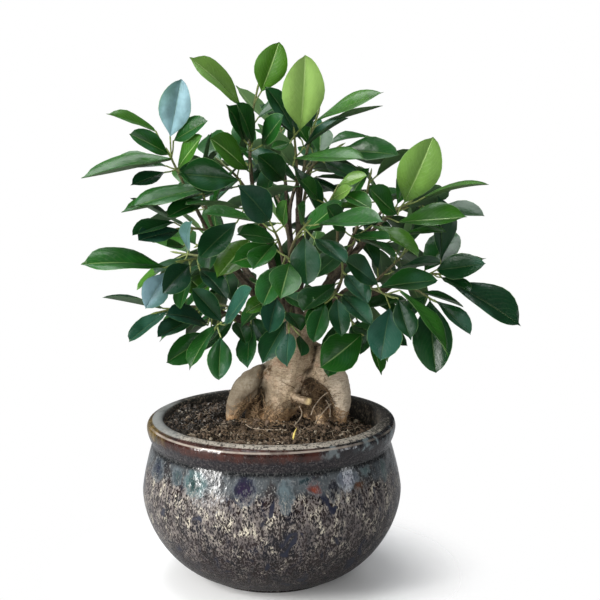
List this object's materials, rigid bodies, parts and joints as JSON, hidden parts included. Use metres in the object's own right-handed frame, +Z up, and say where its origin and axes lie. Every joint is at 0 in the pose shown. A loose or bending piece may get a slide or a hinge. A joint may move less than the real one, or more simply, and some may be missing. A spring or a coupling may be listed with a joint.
{
  "type": "potted ginseng fig bonsai",
  "caption": "Ginseng fig bonsai with thick bare roots and a round leafy crown, in a squat round glazed ceramic pot.",
  "frame": {"origin": "centre of the flat foot that the pot rests on", "axes": "+Z up along the pot's axis, -Y towards the front that the picture shows, +X to the right of that front"},
  "size_m": [0.3337, 0.2725, 0.4217],
  "materials": {
    "glaze": "gloss",
    "peat": "matt",
    "bark": "matt",
    "leaf": "satin"
  },
  "bodies": {
    "root": {"pot": "glaze", "soil": "peat", "spray_back_crown": "leaf", "spray_back_crown_left": "leaf", "spray_back_left_low": "leaf", "spray_back_left_mid": "leaf", "spray_back_left_top": "leaf", "spray_back_low": "leaf", "spray_back_low_left": "leaf", "spray_back_mid": "leaf", "spray_back_right_low": "leaf", "spray_back_right_mid": "leaf", "spray_back_right_top": "leaf", "spray_back_top": "leaf", "spray_centre": "leaf", "spray_centre_front": "leaf", "spray_centre_low": "leaf", "spray_centre_right": "leaf", "spray_crown": "leaf", "spray_front_trunk": "leaf", "spray_inner_left": "leaf", "spray_inner_right": "leaf", "spray_left_low": "leaf", "spray_left_mid": "leaf", "spray_left_side": "leaf", "spray_low_centre_right": "leaf", "spray_low_left": "leaf", "spray_low_mid": "leaf", "spray_low_right": "leaf", "spray_mid_left": "leaf", "spray_right_back": "leaf", "spray_right_far": "leaf", "spray_right_inner": "leaf", "spray_right_low": "leaf", "spray_right_low_front": "leaf", "spray_right_mid": "leaf", "spray_right_top": "leaf", "spray_side_left": "leaf", "spray_side_left_low": "leaf", "spray_side_right": "leaf", "spray_side_right_low": "leaf", "spray_stem_left": "leaf", "spray_top_left": "leaf", "spray_top_main": "leaf", "spray_top_right": "leaf", "spray_top_right_back": "leaf", "spray_upper_left": "leaf", "spray_young_right": "leaf", "trunk": "bark"}
  },
  "joints": []
}
